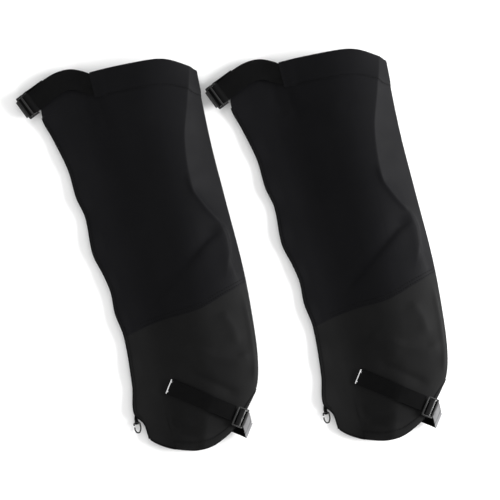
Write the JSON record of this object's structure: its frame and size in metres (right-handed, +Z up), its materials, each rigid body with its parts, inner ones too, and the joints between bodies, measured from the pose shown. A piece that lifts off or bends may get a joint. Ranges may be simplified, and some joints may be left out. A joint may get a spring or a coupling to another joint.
{
  "type": "hiking gaiters",
  "caption": "Knee-high black hiking gaiters lying side by side, with front closure flaps, buckled top straps, instep straps and lace hooks.",
  "frame": {"origin": "middle of the pair's box, on the surface it lies on", "axes": "+Y up the leg, +X across from the front closures to the backs of the calves, +Z up from the surface"},
  "size_m": [0.4517, 0.5089, 0.0409],
  "materials": {
    "shell": "smooth coated nylon, black",
    "heavy_shell": "coarse abrasion-resistant nylon, black",
    "binding": "woven edge binding, black",
    "webbing": "flat woven webbing, black",
    "two_tone_strap": "woven strap, black one side, light grey the other",
    "hook_tape": "hook tape",
    "loop_tape": "brushed loop tape",
    "seam_tape": "bonded seam tape, satin",
    "plastic": "moulded acetal, satin",
    "steel": "bright pressed metal",
    "coated_wire": "black coated wire"
  },
  "bodies": {
    "left_gaiter": {"left_upper_panel": "shell", "left_lower_panel": "heavy_shell", "left_top_tunnel": "shell", "left_top_strap": "webbing", "left_collar_tab": "shell", "left_hem_binding": "binding", "left_instep_strap": "two_tone_strap", "left_front_underlap": "shell", "left_loop_tape": "loop_tape", "left_seam_tape": "seam_tape", "left_top_buckle_tab": "webbing", "left_instep_buckle_tab": "webbing", "left_instep_anchor_patch": "heavy_shell", "left_lace_hook_tab": "webbing"},
    "left_front_flap": {"left_front_flap": "shell", "left_flap_binding": "binding", "left_hook_tape": "hook_tape"},
    "left_top_buckle": {"left_top_buckle": "plastic", "left_top_strap_end": "webbing"},
    "left_instep_buckle": {"left_instep_buckle": "plastic"},
    "left_instep_bar": {"left_instep_buckle_bar": "steel"},
    "left_instep_tail": {"left_instep_strap_tail": "webbing", "left_instep_strap_tip": "steel"},
    "left_lace_hook": {"left_lace_hook": "coated_wire"},
    "right_gaiter": {"right_upper_panel": "shell", "right_lower_panel": "heavy_shell", "right_top_tunnel": "shell", "right_top_strap": "webbing", "right_collar_tab": "shell", "right_hem_binding": "binding", "right_instep_strap": "two_tone_strap", "right_front_underlap": "shell", "right_loop_tape": "loop_tape", "right_seam_tape": "seam_tape", "right_top_buckle_tab": "webbing", "right_instep_buckle_tab": "webbing", "right_instep_anchor_patch": "heavy_shell", "right_lace_hook_tab": "webbing"},
    "right_front_flap": {"right_front_flap": "shell", "right_flap_binding": "binding", "right_hook_tape": "hook_tape"},
    "right_top_buckle": {"right_top_buckle": "plastic", "right_top_strap_end": "webbing"},
    "right_instep_buckle": {"right_instep_buckle": "plastic"},
    "right_instep_bar": {"right_instep_buckle_bar": "steel"},
    "right_instep_tail": {"right_instep_strap_tail": "webbing", "right_instep_strap_tip": "steel"},
    "right_lace_hook": {"right_lace_hook": "coated_wire"}
  },
  "joints": [
    {"name": "left_flap_open", "type": "hinge", "parent": "left_gaiter", "child": "left_front_flap", "pos_m": [-0.1233, -0.1851, 0.00575], "axis": [-0.0816, 0.9967, 0], "range_deg": [0, 105]},
    {"name": "left_top_buckle_tilt", "type": "hinge", "parent": "left_gaiter", "child": "left_top_buckle", "pos_m": [-0.2085, 0.2257, 0.0075], "axis": [-0.4162, 0.9093, 0], "range_deg": [0, 55]},
    {"name": "left_instep_buckle_tilt", "type": "hinge", "parent": "left_gaiter", "child": "left_instep_buckle", "pos_m": [-0.0428, -0.1889, 0.03148], "axis": [-0.5519, -0.8339, 0], "range_deg": [0, 40]},
    {"name": "left_instep_bar_slide", "type": "slide", "parent": "left_instep_buckle", "child": "left_instep_bar", "axis": [-0.7966, 0.5273, 0.2955], "range_m": [0, 0.004]},
    {"name": "left_instep_tail_lift", "type": "hinge", "parent": "left_gaiter", "child": "left_instep_tail", "pos_m": [-0.0428, -0.1889, 0.03148], "axis": [0.5519, 0.8339, 0], "range_deg": [0, 80]},
    {"name": "left_lace_hook_swing", "type": "hinge", "parent": "left_gaiter", "child": "left_lace_hook", "pos_m": [-0.1611, -0.1749, 0.0052], "axis": [-1, 0, 0], "range_deg": [0, 80]},
    {"name": "right_flap_open", "type": "hinge", "parent": "right_gaiter", "child": "right_front_flap", "pos_m": [0.1013, -0.2184, 0.00575], "axis": [-0.0816, 0.9967, 0], "range_deg": [0, 105]},
    {"name": "right_top_buckle_tilt", "type": "hinge", "parent": "right_gaiter", "child": "right_top_buckle", "pos_m": [0.0161, 0.1924, 0.0075], "axis": [-0.4162, 0.9093, 0], "range_deg": [0, 55]},
    {"name": "right_instep_buckle_tilt", "type": "hinge", "parent": "right_gaiter", "child": "right_instep_buckle", "pos_m": [0.1818, -0.2222, 0.03148], "axis": [-0.5519, -0.8339, 0], "range_deg": [0, 40]},
    {"name": "right_instep_bar_slide", "type": "slide", "parent": "right_instep_buckle", "child": "right_instep_bar", "axis": [-0.7966, 0.5273, 0.2955], "range_m": [0, 0.004]},
    {"name": "right_instep_tail_lift", "type": "hinge", "parent": "right_gaiter", "child": "right_instep_tail", "pos_m": [0.1818, -0.2222, 0.03148], "axis": [0.5519, 0.8339, 0], "range_deg": [0, 80]},
    {"name": "right_lace_hook_swing", "type": "hinge", "parent": "right_gaiter", "child": "right_lace_hook", "pos_m": [0.0635, -0.2082, 0.0052], "axis": [-1, 0, 0], "range_deg": [0, 80]},
    {"name": "pair_apart", "type": "slide", "parent": "left_gaiter", "child": "right_gaiter", "axis": [1, 0, 0], "range_m": [0, 0.05]}
  ]
}
